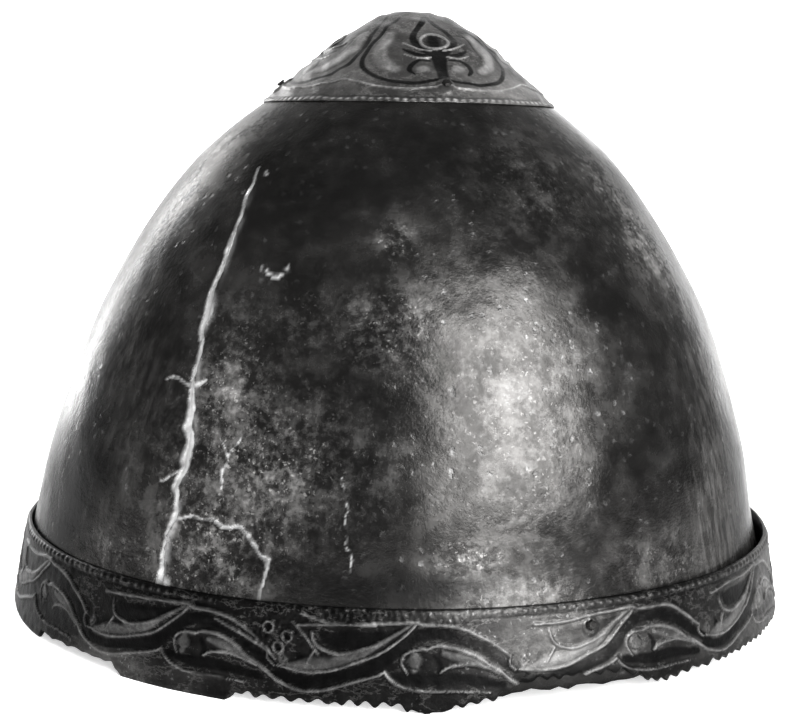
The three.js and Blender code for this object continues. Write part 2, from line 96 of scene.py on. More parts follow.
class Outline:
    """The bowl's outline as a curve by its length, and points placed on it."""

    def __init__(self, sizes: Bowl) -> None:
        """Samples the outline of a bowl of these sizes."""
        table = np.array(sizes.rows, float)
        reach_height = np.column_stack([table[:, 1] * sizes.width / 2, table[:, 0] * sizes.height])
        lean_height = np.column_stack([table[:, 2] * sizes.lean, table[:, 0] * sizes.height])
        curve = spline(reach_height, 6001)
        lean = spline(lean_height, 6001)
        self.sizes = sizes
        self.reach, self.height = curve[:, 0], np.maximum.accumulate(curve[:, 1])
        self.length = np.concatenate([[0], np.cumsum(np.hypot(*np.diff(curve, axis=0).T))])
        self.lean = np.interp(self.height, np.maximum.accumulate(lean[:, 1]), lean[:, 0])
        tangent = np.gradient(curve, axis=0)
        tangent /= np.linalg.norm(tangent, axis=1)[:, None]
        self.out, self.rise = tangent[:, 1], -tangent[:, 0]

    def at(self, height: np.ndarray) -> np.ndarray:
        """The length along the outline, from the rim, at which it reaches a height."""
        return np.interp(height, self.height, self.length)

    def heights(self, length: np.ndarray) -> np.ndarray:
        """The height at a length along the outline."""
        return np.interp(length, self.length, self.height)

    def reaches(self, length: np.ndarray) -> np.ndarray:
        """The distance from the axis at a length along the outline."""
        return np.interp(length, self.length, self.reach)

    def place(self, angle: np.ndarray, length: np.ndarray, offset: np.ndarray) -> np.ndarray:
        """Points on the wall.

        (lean + R sin a, -k R cos a, Z), where R and Z are the outline's reach and height at that
        length, moved by the offset along its outward normal, and k is the depth over the width.

        Args:
            angle: Degrees round from the front towards +X.
            length: Millimetres along the outline from the rim.
            offset: Millimetres outside the iron.

        Returns:
            The points in metres, with a last axis of 3.
        """
        s, r = self.length, np.radians(angle)
        reach = np.maximum(np.interp(length, s, self.reach) + offset * np.interp(length, s, self.out), 0)
        reach = np.where(length >= s[-1] - 1e-6, 0, reach)
        height = np.interp(length, s, self.height) + offset * np.interp(length, s, self.rise)
        lean = np.interp(length, s, self.lean)
        k = self.sizes.depth / self.sizes.width
        return np.stack([lean + reach * np.sin(r), -k * reach * np.cos(r), height + 0 * r], -1) * MM


def smooth(low: float, high: float, x: np.ndarray) -> np.ndarray:
    """An S-shaped step of x from 0 at low to 1 at high, 3t^2 - 2t^3."""
    t = np.clip((x - low) / (high - low), 0, 1)
    return t * t * (3 - 2 * t)


def noise(x: np.ndarray, y: np.ndarray, seed: int, waves: int = 24) -> np.ndarray:
    """Smooth noise of about unit size: a sum of sines along seeded directions, one cycle a unit."""
    pick = np.random.default_rng(seed)
    turn, phase, rate = (pick.uniform(0, high, waves) for high in (2 * math.pi, 2 * math.pi, 1.0))
    total = np.zeros(np.broadcast(x, y).shape)
    for a, p, r in zip(turn, phase, rate):
        total += np.sin((x * math.cos(a) + y * math.sin(a)) * 2 * math.pi * (0.45 + r) + p)
    return total / math.sqrt(waves / 2)


Grid = np.ndarray


def distance(u: Grid, v: Grid, path: Grid, turn: float | Grid) -> tuple[Grid, Grid]:
    """The distance to a polyline and the place along it, |p - (a + t (b - a))| with t in 0..1.

    Args:
        u: Millimetres round.
        v: Millimetres up.
        path: The polyline's corners, one (degrees, millimetres up) a row.
        turn: Millimetres for one degree at each point.

    Returns:
        The least distance in millimetres, and the place along the polyline as a row number.
    """
    best = np.full(u.shape, 1e9)
    along = np.zeros(u.shape)
    for k, (a, b) in enumerate(zip(path[:-1], path[1:])):
        du, dv = (b[0] - a[0]) * turn, b[1] - a[1]
        x, y = u - a[0] * turn, v - a[1]
        t = np.clip((x * du + y * dv) / np.maximum(du * du + dv * dv, 1e-9), 0, 1)
        far = np.hypot(x - t * du, y - t * dv)
        along = np.where(far < best, k + t, along)
        best = np.minimum(best, far)
    return best, along


def shell(name: str, outer: Grid, inner: Grid, pole: bool, masks: dict[str, Grid]) -> bpy.types.Object:
    """A closed wall from an outside and an inside grid of points, rows going up and columns round.

    Args:
        name: The object's name.
        outer: Points (rows, columns, 3) of the outside.
        inner: Points (rows, columns, 3) of the inside, with the same columns.
        pole: Whether both grids close over the tip in one point, which their last rows hold.
        masks: Values (rows, columns) on the outside, kept as attributes of the mesh.

    Returns:
        The new object.
    """
    rows, cols = outer.shape[:2]
    low = inner.shape[0]
    if pole:
        body, tip = outer[:-1].reshape(-1, 3), outer[-1].mean(0)[None]
        inside, under = inner[:-1].reshape(-1, 3), inner[-1].mean(0)[None]
        points = np.concatenate([body, tip, inside, under])
        rows, low = rows - 1, low - 1
    else:
        points = np.concatenate([outer.reshape(-1, 3), inner.reshape(-1, 3)])
    start = rows * cols + pole
    k = np.arange(cols)
    n = (k + 1) % cols
    i = np.arange(rows - 1)[:, None] * cols
    out = np.stack([i + k, i + n, i + cols + n, i + cols + k], -1).reshape(-1, 4)
    j = start + np.arange(low - 1)[:, None] * cols
    back = np.stack([j + k, j + cols + k, j + cols + n, j + n], -1).reshape(-1, 4)
    foot = np.stack([start + k, start + n, n, k], -1)
    quads = [out, back, foot]
    tris = np.zeros((0, 3), int)
    top, under_top = (rows - 1) * cols, start + (low - 1) * cols
    if pole:
        ends = [np.stack([top + k, top + n, 0 * k + rows * cols], -1),
                np.stack([under_top + n, under_top + k, 0 * k + len(points) - 1], -1)]
        tris = np.concatenate(ends)
    else:
        quads.append(np.stack([top + k, top + n, under_top + n, under_top + k], -1))
    flat = [len(foot)] if pole else [len(foot), cols]
    quads = np.concatenate(quads)
    mesh = bpy.data.meshes.new(name)
    mesh.vertices.add(len(points))
    mesh.vertices.foreach_set("co", points.astype(np.float32).ravel())
    loops = np.concatenate([quads.ravel(), tris.ravel()])
    sizes = np.concatenate([np.full(len(quads), 4), np.full(len(tris), 3)])
    mesh.loops.add(len(loops))
    mesh.loops.foreach_set("vertex_index", loops.astype(np.int32))
    mesh.polygons.add(len(sizes))
    mesh.polygons.foreach_set("loop_start", np.concatenate([[0], np.cumsum(sizes)[:-1]]).astype(np.int32))
    smooth_faces = np.ones(len(sizes), bool)
    smooth_faces[len(quads) - sum(flat):len(quads)] = False
    mesh.polygons.foreach_set("use_smooth", smooth_faces)
    mesh.update(calc_edges=True)
    mesh.validate()
    for key, values in masks.items():
        full = np.zeros(len(points), np.float32)
        flatted = values[:rows].reshape(-1)
        full[:len(flatted)] = flatted
        mesh.attributes.new(key, "FLOAT", "POINT").data.foreach_set("value", full)
    obj = bpy.data.objects.new(name, mesh)
    bpy.context.scene.collection.objects.link(obj)
    return obj


def spread(stops: tuple[tuple[float, float, float], ...]) -> Grid:
    """Column places from (from, to, step) stretches laid end to end, as degrees round."""
    return np.concatenate([np.arange(round((b - a) / s)) * s + a for a, b, s in stops])


Line = tuple[tuple[float, float, float], ...]


class Relief:
    """A height field with its masks, drawn by raised and sunk lines on a chart in millimetres."""

    def __init__(
        self, u: Grid, v: Grid, turn: float | Grid, repeats: tuple[float, ...] = (0.0,), steps: int = 1
    ) -> None:
        """Starts a flat field.

        Args:
            u: Degrees round on the chart.
            v: Millimetres up.
            turn: Millimetres for one degree at each point.
            repeats: Shifts in degrees at which every line is drawn again.
            steps: Pieces that each stretch of a line is rounded into, 1 for straight stretches.
        """
        self.u, self.v, self.turn, self.repeats, self.steps = u, v, turn, repeats, steps
        self.height, self.dark, self.bright = (np.zeros(u.shape) for _ in range(3))

    def inside(self, rows: Line) -> Grid:
        """How far inside a line each point lies, 1 - d / w: 1 on its middle, 0 at its edge, less outside."""
        table = spline(np.array(rows, float), (len(rows) - 1) * self.steps + 1)
        table[:, 2] = np.maximum(table[:, 2], 0.1)
        best = np.full(self.u.shape, -9.0)
        for shift in self.repeats:
            near, along = distance((self.u - shift) * self.turn, self.v, table[:, :2], self.turn)
            best = np.maximum(best, 1 - near / np.interp(along, np.arange(len(table)), table[:, 2]))
        return best

    def ridge(self, rows: Line, high: float, bright: float = 1.0) -> None:
        """A raised line with a round back, h sqrt(s (2 - s)) with s the share inside."""
        s = np.clip(self.inside(rows), 0, 1)
        self.height = np.maximum(self.height, high * np.sqrt(s * (2 - s)))
        self.bright = np.maximum(self.bright, bright * smooth(0.05, 0.7, s))
        self.dark *= 1 - smooth(0, 0.4, s)

    def groove(self, rows: Line, deep: float, soft: float = 0.4, shade: float = 1.0) -> None:
        """A sunk and darkened line with sloping sides, -d smooth(s)."""
        s = smooth(0, soft, self.inside(rows))
        self.height = self.height * (1 - s) - deep * s
        self.dark = np.maximum(self.dark, s * shade)
        self.bright *= 1 - s


def circle(u: float, v: float, wide: float, tall: float, line: float) -> Line:
    """A ring of 16 steps: (u + w sin t, v + h cos t)."""
    turns = np.linspace(0, 2 * math.pi, 17)
    return tuple((u + wide * math.sin(t), v + tall * math.cos(t), line) for t in turns)


def read(table: tuple[tuple[float, ...], ...], angle: Grid, column: int = 1) -> Grid:
    """A value read off a table by angle, on straight lines between its rows."""
    rows = np.array(table, float)
    return np.interp(angle, rows[:, 0], rows[:, column])


def patches(u: Grid, v: Grid, turn: Grid, rows: tuple[tuple[float, float, float, float, float], ...]) -> Grid:
    """The strongest of several soft oval patches, s exp(-d^2), with d the distance in their half sizes.

    Args:
        u: Degrees round.
        v: Millimetres up.
        turn: Millimetres for one degree.
        rows: (degrees, height, half width, half height, strength), the sizes in millimetres.

    Returns:
        The mask.
    """
    total = np.zeros(np.broadcast(u, v).shape)
    for a, z, wide, tall, strength in rows:
        far = ((u - a) * turn / wide) ** 2 + ((v - z) / tall) ** 2
        total = np.maximum(total, strength * np.exp(-far))
    return total


# Broken lower edge: degrees, then the band's and the iron's height as shares of the band's border
LOWER_EDGE = (
    (-180, 0, 0), (-60, 0, 0), (-57.2, 0.05, 0.6), (-56.4, 0.75, 0.8), (-54, 0.7, 1), (-39, 0.9, 1.2),
    (-37, 0, 1.2), (-21, 0, 1.2), (-19, 0.75, 1.2), (1, 0.7, 1),
    (3, 0.15, 1), (6, 0.15, 0.9), (8, 0.6, 0.9), (12, 1, 1.1), (17, 2.4, 1.35), (30, 2.2, 1.3),
    (36, 0.6, 1.1), (44, 0.85, 1.2), (80, 0.6, 1), (96, 0, 0), (180, 0, 0),
)
# Where the band stands off the iron: degrees, share of the widest gap
SPRUNG = ((-100, 0), (-78, 0.25), (-50, 0), (26, 0), (50, 0.55), (75, 1), (95, 1), (120, 0))


@dataclass(frozen=True)
class Vine:
    """One repeat of the brow band's vine, from its crest: (degrees, height, half width) rows."""

    grooves: tuple[Line, ...] = (
        ((-17.5, 7.6, 1.3), (-14, 6.9, 1.6), (-11, 7.9, 1.6), (-7.7, 9.3, 1.7), (-5, 11.2, 2.0), (-2.9, 14.2, 2.5),
         (-1, 17, 2.3), (1.5, 18.9, 1.9), (4.5, 18.6, 1.9), (7, 16.9, 1.7), (9, 14.9, 1.6), (10.6, 12.6, 1.5),
         (12.3, 10.2, 1.4), (14, 7.9, 1.3)),
        ((-11.4, 18.4, 1.0), (-10.3, 17, 2.4), (-7.7, 17, 2.7), (-5, 17.8, 2.1), (-3, 18.9, 1.4), (-1.3, 20, 0.5)),
        ((-2.2, 9.2, 1.2), (2, 8.2, 1.7), (5, 8.4, 1.9), (8, 7.8, 1.6), (11, 6.8, 1.1)),
        ((2.5, 13.8, 0.5), (3.1, 12, 0.9), (2.9, 10, 0.9)),
        ((-14.3, 13.2, 0.7), (-14.2, 12.1, 1.3), (-14.5, 11.2, 0.8)),
    )
    bodies: tuple[Line, ...] = (
        ((-15.6, 9.8, 1.2), (-13, 11.0, 2.0), (-10.5, 11.6, 1.9), (-8, 12.9, 1.5), (-5.8, 14.6, 1.2), (-4, 16.8, 0.8),
         (-0.4, 21.2, 0.45)),
        ((3.6, 14.3, 0.8), (5.5, 13.5, 1.5), (7.6, 12.3, 1.2), (9.5, 10.6, 0.7)),
        ((-0.1, 10.6, 1.2), (0, 12.4, 2.7), (0, 14, 1.2)),
        ((-16.4, 10.6, 0.8), (-16.4, 11.8, 1.7), (-16.4, 12.8, 0.8)),
    )
    ridges: tuple[Line, ...] = (
        ((-14.4, 20.3, 0.4), (-7.7, 20.9, 0.45), (-2.7, 21.6, 0.5), (0, 21.9, 0.55), (1, 21.2, 0.5), (4, 21.1, 0.55),
         (6.3, 20.2, 0.55), (8, 18.5, 0.55), (9.6, 16.7, 0.5), (10.8, 14.9, 0.45), (11.7, 13.6, 0.4)),
        ((-12.6, 18.8, 0.3), (-12, 15.4, 0.4), (-9.6, 13.7, 0.5), (-7, 14.6, 0.45), (-4.4, 16.4, 0.35)),
        ((-17, 9.9, 0.3), (-14, 9.0, 0.42), (-10.4, 9.8, 0.42), (-7.7, 11.5, 0.42), (-4.4, 14.0, 0.4), (-1, 18.8, 0.4),
         (0.1, 21, 0.4)),
        ((1.6, 15.2, 0.4), (3, 16, 0.5), (5.3, 15.5, 0.6), (7.6, 13.7, 0.6), (9, 11.7, 0.55), (10.6, 9.9, 0.5),
         (11.8, 7.9, 0.5), (13.2, 6.1, 0.45), (15.6, 4.8, 0.45), (18, 5, 0.45), (20.6, 6.2, 0.45), (23.3, 7.7, 0.45),
         (25.6, 9, 0.4), (26.5, 10.1, 0.35)),
        ((3.1, 10, 0.3), (4.3, 11.3, 0.42), (7, 11.7, 0.42), (9, 10.7, 0.4), (10.5, 9.3, 0.35)),
        ((-3.5, 10.1, 0.35), (-2.9, 8.3, 0.42), (-1.7, 6.7, 0.4), (0.5, 5.7, 0.35), (4, 5.3, 0.25), (9, 5.0, 0.2)),
        ((-0.9, 9.7, 0.3), (-1.5, 12, 0.35), (-1.2, 14, 0.35), (0, 15.1, 0.38), (1.6, 15.1, 0.4)),
        ((-12.2, 14.4, 0.35), (-12.9, 12.4, 0.35), (-13.4, 10.8, 0.3)),
        ((-18.1, 13.6, 0.3), (-18.3, 11.6, 0.32), (-17.4, 9.8, 0.3)),
    )
    curls: tuple[Line, ...] = (
        ((0.8, 13.8, 0.25), (1.15, 12.3, 0.28), (0.6, 11, 0.25), (-0.4, 10.9, 0.22), (-0.8, 12.1, 0.2)),
        ((-16.4, 12.3, 0.3), (-16.2, 11.7, 0.4), (-16.4, 11.2, 0.3)),
    )


@dataclass(frozen=True)
class BrowBand:
    """The light metal band round the brow, with its vine in low relief, in millimetres and degrees.

    turn is millimetres for one degree, and columns are (from, to, step) stretches round it.
    """

    outline: Outline
    height: float = 24.8
    wall: float = 1.0
    border: float = 3.0
    sprung_gap: float = 2.4
    crest: float = 2.7
    period: float = 30.0
    turn: float = 1.97
    tooth_pitch: float = 4.1
    bead_pitch: float = 2.7
    rivet_angles: tuple[float, ...] = (26, 131, -177, -125)
    rivet_height: float = 18.5
    rivet_pad: float = 2.4
    rivet_seat: float = 0.55
    rows: int = 60
    inner_rows: int = 4
    columns: tuple[tuple[float, float, float], ...] = ((-180, -96, 0.5), (-96, 96, 0.19), (96, 180, 0.5))

    def edge(self, angle: Grid) -> Grid:
        """The height of the band's lower edge, with the stubs between its broken holes."""
        edge = read(LOWER_EDGE, angle) * self.border
        broken = smooth(0.9, 1.5, edge)
        toothed = broken * smooth(-37, -35, angle)
        drift = 0.12 * noise(angle / 9, 0 * angle, 11)
        wave = 0.5 + 0.5 * np.cos((angle * self.turn / self.tooth_pitch + drift) * 2 * math.pi)
        ragged = noise(angle / 2.5, 0 * angle, 5)
        long_teeth = 0.7 * (np.exp(-(((angle - 1.6) / 0.4) ** 2)) + np.exp(-(((angle - 4) / 0.4) ** 2)))
        return np.maximum(edge + toothed * (0.5 - 0.95 * wave) + 0.18 * broken * ragged - long_teeth, 0)

    def place(self, angle: Grid, height: Grid, offset: Grid) -> Grid:
        """Points on the band, level with the bowl's outline: (lean + R sin a, -k R cos a, z)."""
        o = self.outline
        length = o.at(height)
        gap = BOWL.clearance + self.sprung_gap * read(SPRUNG, angle) * height / self.height
        reach = o.reaches(length) + (offset + gap) / np.interp(length, o.length, o.out)
        lean, r, k = np.interp(length, o.length, o.lean), np.radians(angle), BOWL.depth / BOWL.width
        return np.stack([lean + reach * np.sin(r), -k * reach * np.cos(r), height + 0 * r], -1) * MM

    def relief(self, a: Grid, z: Grid) -> Relief:
        """The vine, the beads and the damage, as a height field in millimetres."""
        warp_u, warp_v = 0.14 * noise(a / 12, z / 18, 21), 0.16 * noise(a / 10, z / 16, 22)
        local = np.mod(a - self.crest + self.period / 2, self.period) - self.period / 2
        relief = Relief(local + warp_u, z + warp_v, self.turn, (0.0, self.period, -self.period), 3)
        for rows in VINE.grooves:
            relief.groove(rows, 0.3)
        for rows in VINE.bodies:
            relief.ridge(rows, 0.3, 0.5)
        for rows in VINE.ridges:
            relief.ridge(rows, 0.45, 1.0)
        for rows in VINE.curls:
            relief.groove(rows, 0.1, 1.0, 0.8)
        pitch = self.bead_pitch
        phase = np.abs(np.mod(a * self.turn / pitch, 1) - 0.5) * pitch
        bead = np.clip(1 - np.hypot(phase, (z - 23.75) * 1.2) / 0.9, 0, 1)
        kept = 1 - smooth(-25, -22, a) * (1 - smooth(9, 12, a))
        seam = np.exp(-(((z - 22.5) / 0.3) ** 2))
        relief.height += kept * (0.26 * np.sqrt(bead * (2 - bead)) - 0.16 * seam)
        relief.bright = np.maximum(relief.bright, kept * 0.55 * smooth(0.2, 0.9, bead))
        relief.dark = np.maximum(relief.dark, kept * 0.8 * seam)
        scar = Relief(a, z, self.turn)
        rings = ((-15.7, 19.0), (-14.3, 14.4), (-13.2, 17.2))
        for u, v in rings:
            scar.groove(((u, v - 0.3, 0.9), (u, v + 0.3, 0.9)), 0.3)
            scar.ridge(circle(u, v, 0.68, 1.35, 0.32), 0.4, 0.9)
        for rows in (((-23, 19.5, 0.4), (-19, 16.5, 0.5), (-16, 14, 0.6), (-14.5, 11.5, 0.4)),
                     ((-12.5, 21, 0.35), (-10.6, 17, 0.35), (-9.2, 13.5, 0.4)),
                     ((-11.5, 23, 0.4), (-8, 21.2, 0.5), (-2, 20.8, 0.4))):
            scar.ridge(rows, 0.4, 0.9)
        lost = patches(a, z, self.turn, ((-16, 17.5, 9, 5, 1.0), (-2, 23.5, 26, 2.2, 0.9)))
        relief.height = relief.height * (1 - 0.7 * lost) + 0.14 * lost * noise(a / 0.9, z / 1.6, 31)
        relief.height += scar.height
        relief.bright = np.maximum(relief.bright * (1 - 0.6 * lost), scar.bright)
        relief.dark = np.maximum(relief.dark * (1 - 0.4 * lost), scar.dark)
        slot = Relief(a, z, self.turn)
        slot.groove(((-79.2, 9.2, 0.6), (-79, 11.5, 1.0), (-78.6, 14, 0.7)), 0.9)
        relief.height += slot.height
        relief.dark = np.maximum(relief.dark, slot.dark)
        pad = self.rivet_pad
        rivets = tuple((angle, self.rivet_height, pad, pad, 1.0) for angle in self.rivet_angles)
        seat = smooth(0.25, 0.6, patches(a, z, self.turn, rivets))
        relief.height = relief.height * (1 - seat) + self.rivet_seat * seat
        return relief

    def build(self) -> bpy.types.Object:
        """The band as one closed wall."""
        angle = spread(self.columns)
        share = np.linspace(0, 1, self.rows)[:, None]
        edge = self.edge(angle)
        z = edge + (self.height - edge) * share
        a = angle + 0 * z
        relief = self.relief(a, z)
        dents = 0.1 * noise(a / 14, z / 14, 41) + 0.035 * noise(a / 2.2, z / 4, 42)
        lip = 0.35 * (1 - smooth(0, 0.8, self.height - z)) + 0.3 * (1 - smooth(0, 0.7, z - edge))
        # Paler patches: wear, and painted highlight where the key light's highlight falls on the band and on its right
        # side
        wear_and_highlight = patches(a, z, self.turn, (
            (21, 16, 19, 8, 0.75), (-41, 4, 9, 4, 0.7), (-36, 3, 8, 3, 0.6), (66, 14, 24, 14, 0.9),
            (-25, 3, 12, 3, 0.2), (-74, 12, 14, 12, 0.3), (32, 12, 12, 5, 0.4), (48, 9, 14, 5, 0.4),
            (12, 23.5, 16, 1.5, 0.6)))
        shade = patches(a, z, self.turn, (
            (26, 6, 20, 2.5, 0.9), (1, 10, 22, 11, 0.7), (-22, 1.5, 5, 3, 0.8), (-55, 6, 22, 8, 0.7),
            (-4, 23, 10, 2, 0.6)))
        # Painted highlight: the dark ornament is faded where the band's highlights fall
        relief.dark *= 1 - 0.75 * patches(a, z, self.turn, ((21, 16.5, 22, 6.5, 1.0), (70, 15, 20, 14, 0.7)))
        outer = self.place(a, z, self.wall + relief.height + dents - lip)
        low = edge + (self.height - edge) * np.linspace(0, 1, self.inner_rows)[:, None]
        inner = self.place(angle + 0 * low, low, 0)
        masks = {"dark": relief.dark, "bright": relief.bright, "wear_and_highlight": wear_and_highlight, "shade": shade}
        return shell("band_surface", outer, inner, False, masks)


@dataclass(frozen=True)
class Palmette:
    """One half of the crown plate's palmette, from its middle: (degrees, height, half width) rows."""

    grooves: tuple[Line, ...] = (
        ((1.5, 156, 0.6), (7.5, 155.2, 0.8), (16, 154.5, 0.9), (25, 155.2, 0.9), (35, 157.6, 0.9), (41.5, 161, 0.9),
         (43.5, 165.3, 0.9), (41, 169.5, 0.8), (35, 174.6, 0.6)),
        ((5, 163.0, 0.4), (12, 163.3, 1.0), (20, 164.3, 0.5)),
        ((5.5, 161.4, 0.5), (11, 161.6, 0.6), (14.8, 160.2, 0.9), (15.4, 158.4, 0.9), (12.8, 157.2, 0.5)),
        ((0, 174.8, 0.9), (9, 171.8, 1.1), (16, 167.9, 1.2), (8, 165, 1.5), (2, 163.2, 2.2), (0, 160, 2.6),
         (0, 156.8, 2.2)),
    )
    ridges: tuple[Line, ...] = (
        ((3.4, 164.2, 0.35), (11, 164.9, 0.4), (22, 166.4, 0.3)),
        ((4.2, 162.2, 0.3), (11, 162.1, 0.35), (19, 162.9, 0.3)),
        ((0, 154.2, 0.3), (9, 153.4, 0.4), (24, 153.2, 0.4), (45, 155.4, 0.35)),
    )
    lobes: tuple[Line, ...] = (
        ((8.5, 159, 2.2), (9.5, 158.8, 2.4)),
        ((22, 158.5, 2.2), (30, 160.6, 2.6), (35, 164.4, 3.0), (34, 168.6, 2.4)),
    )


@dataclass(frozen=True)
class CrownPlate:
    """The light metal plate over the tip, with its palmettes in low relief, in millimetres and degrees."""

    outline: Outline
    height: float = 27.0
    wall: float = 0.8
    middle: float = 15.0
    period: float = 90.0
    bead_pitch: float = 2.4
    eye_height: float = 167.0
    rivet_height: float = 154.2
    rivet_pad: float = 2.4
    rivet_seat: float = 0.48
    rows: int = 138
    inner_rows: int = 16
    columns: tuple[tuple[float, float, float], ...] = ((-180, -95, 1.0), (-95, 95, 0.44), (95, 180, 1.0))

    def along(self, rows: Line, low: float) -> Line:
        """A line's rows with each height turned into the length along the outline from the plate's foot."""
        return tuple((u, float(self.outline.at(np.array(z))) - low, w) for u, z, w in rows)

    def build(self) -> bpy.types.Object:
        """The plate as one closed wall that ends in a point over the tip."""
        o = self.outline
        angle = spread(self.columns)
        low, high = o.at(BOWL.height - self.height), o.length[-1]
        length = low + (high - low) * np.linspace(0, 1, self.rows)[:, None]
        a = angle + 0 * length
        turn = np.maximum(o.reaches(length), 0.5) * math.pi / 180
        v = (length - low) + 0 * a
        local = np.mod(a - self.middle + self.period / 2, self.period) - self.period / 2
        jitter_u, jitter_v = 0.18 * noise(a / 24, v / 12, 51), 0.18 * noise(a / 24, v / 12, 52)
        rivet = (0, self.rivet_height, self.rivet_pad, self.rivet_pad, 1.0)
        seat = smooth(0.25, 0.6, patches(np.abs(local), o.heights(length) + 0 * a, turn, (rivet,)))
        relief = Relief(np.abs(local) + jitter_u / turn, v + jitter_v, turn + 0 * a, steps=4)
        for rows in PALMETTE.lobes:
            relief.ridge(self.along(rows, low), 0.22, 0.5)
        for rows in PALMETTE.grooves:
            relief.groove(self.along(rows, low), 0.25)
        for rows in PALMETTE.ridges:
            relief.ridge(self.along(rows, low), 0.35, 0.9)
        relief.u = local + jitter_u / turn
        eye = float(o.at(np.array(self.eye_height))) - low
        relief.groove(((0, eye - 1.5, 3.6), (0, eye + 1.5, 3.6)), 0.15, 0.8)
        relief.ridge(circle(0, eye, 9.0, 3.5, 0.65), 0.42, 0.6)
        relief.groove(((0, eye - 0.8, 1.2), (0, eye + 0.8, 1.2)), 0.12, 0.8)
        pitch = self.bead_pitch
        phase = np.abs(np.mod(a * turn[0] / pitch, 1) - 0.5) * pitch
        bead = np.clip(1 - np.hypot(phase, (v - 0.9) * 1.5) / 1.15, 0, 1)
        seam = np.exp(-(((v - 2.1) / 0.35) ** 2))
        lip = 0.75 * (1 - smooth(0, 7, v)) * (1 - seat)
        height = relief.height * (1 - seat) + self.rivet_seat * seat
        height += 0.25 * np.sqrt(bead * (2 - bead)) - 0.12 * seam
        height += 0.12 * noise(a * turn / 9, v / 9, 53) * smooth(0, 8, high - length) * (1 - seat)
        bright = np.maximum(relief.bright, 0.95 * smooth(0.1, 0.8, bead))
        dark = np.maximum(relief.dark, 0.5 * seam)
        fade = smooth(1.5, 7, high - length)
        outer = o.place(a, length, BOWL.clearance + self.wall - lip + height * fade)
        few = low + (high - low) * np.linspace(0, 1, self.inner_rows)[:, None]
        inner = o.place(angle + 0 * few, few, 0 * (angle + few) + BOWL.clearance * 0.5)
        wear_and_highlight = patches(a, o.heights(length) + 0 * a, turn, (
            (45, 153, 16, 5, 0.8), (-30, 158, 12, 8, 0.35), (-60, 156, 14, 12, 0.5), (5, 172, 8, 4, 0.4)))
        masks = {"dark": dark * fade, "bright": bright * fade, "wear_and_highlight": wear_and_highlight, "shade": 0 * a}
        return shell("plate_surface", outer, inner, True, masks)


@dataclass(frozen=True)
class Damage:
    """Cracks, streaks, stains and painted shade of the bowl, as (degrees, height, half width) rows and oval patches."""

    crack: Line = (
        (-38, 131, 0.3), (-36.5, 121, 0.9), (-35.5, 110, 1.3), (-35, 98, 2), (-34.5, 92, 1.9), (-34.5, 86, 0.9),
        (-34, 75, 1.5), (-33, 69, 2), (-32, 62, 2), (-32, 54, 1.8), (-33, 49, 1.6), (-31.5, 43, 1.3),
        (-33, 37, 0.8), (-32.5, 27, 1.2), (-32, 24, 1.5))
    branches: tuple[Line, ...] = (
        ((-31, 42, 0.6), (-28, 43, 0.5), (-24, 42, 0.6), (-21.5, 42, 0.5), (-20, 40, 0.7), (-18, 36, 0.5),
         (-16.5, 34, 1), (-17, 31, 0.5), (-18, 26, 0.4)),
        ((-40, 75, 0.3), (-37, 76, 0.6), (-34, 75, 0.6)),
        ((-36, 51, 0.4), (-32, 54, 0.5)),
        ((-34, 75, 0.5), (-32, 75, 0.8), (-31, 76, 0.5)),
    )
    streaks: tuple[Line, ...] = (
        ((-23, 64, 0.4), (-25, 59, 0.6), (-25, 53, 0.6), (-25, 49, 0.4)),
        ((-26.5, 63, 0.3), (-25, 59, 0.5)),
        ((-7.5, 56, 0.3), (-6.5, 46, 0.4), (-5.5, 34, 0.4)),
        ((-27, 105, 0.6), (-24, 104, 0.9), (-21, 106, 0.6)),
        ((-35, 131, 0.8), (-34.5, 130, 0.8)),
        ((-24, 26, 0.7), (-23.5, 27, 0.7)),
    )
    bloom: tuple[tuple[float, float, float, float, float], ...] = (
        (-20, 57, 26, 18, 1.0), (-27, 72, 12, 18, 0.8), (-24, 40, 20, 12, 0.9), (-3, 92, 12, 9, 0.75),
        (-2, 114, 4, 4, 0.85), (-16, 93, 10, 8, 0.4), (10, 36, 8, 4, 1.0), (58, 113, 12, 16, 0.6),
        (57, 129, 10, 14, 0.5),
        (-65, 138, 12, 10, 0.8), (-62, 124, 9, 14, 0.6), (15, 26, 18, 5, 0.6), (-26, 32, 18, 9, 1.0),
        (40, 30, 16, 8, 0.4), (18, 70, 22, 34, 0.25), (-44, 30, 10, 6, 0.4), (30, 127, 16, 12, 0.3))
    streaky: tuple[tuple[float, float, float, float, float], ...] = (
        (-45, 61, 11, 22, 0.6), (-52, 80, 8, 18, 0.5), (-48, 38, 12, 12, 0.3), (54, 42, 14, 24, 0.9),
        (60, 70, 10, 22, 0.7), (16, 28, 14, 6, 0.6), (-12, 45, 10, 14, 0.3))
    # Painted shade patches, one along the iron under the band's lower edge
    shade: tuple[tuple[float, float, float, float, float], ...] = (
        (0, 29.5, 32, 5.5, 1.0), (-14, 33, 10, 4, 0.8), (-50, 49, 10, 9, 0.9), (25, 3, 60, 5, 1.0),
        (-54, 44, 15, 24, 0.85), (-5, 66, 9, 24, 0.6), (5, 136, 30, 12, 0.5),
        (-22, 126, 14, 12, 0.6), (45, 62, 16, 18, 0.5), (40, 100, 14, 14, 0.3))


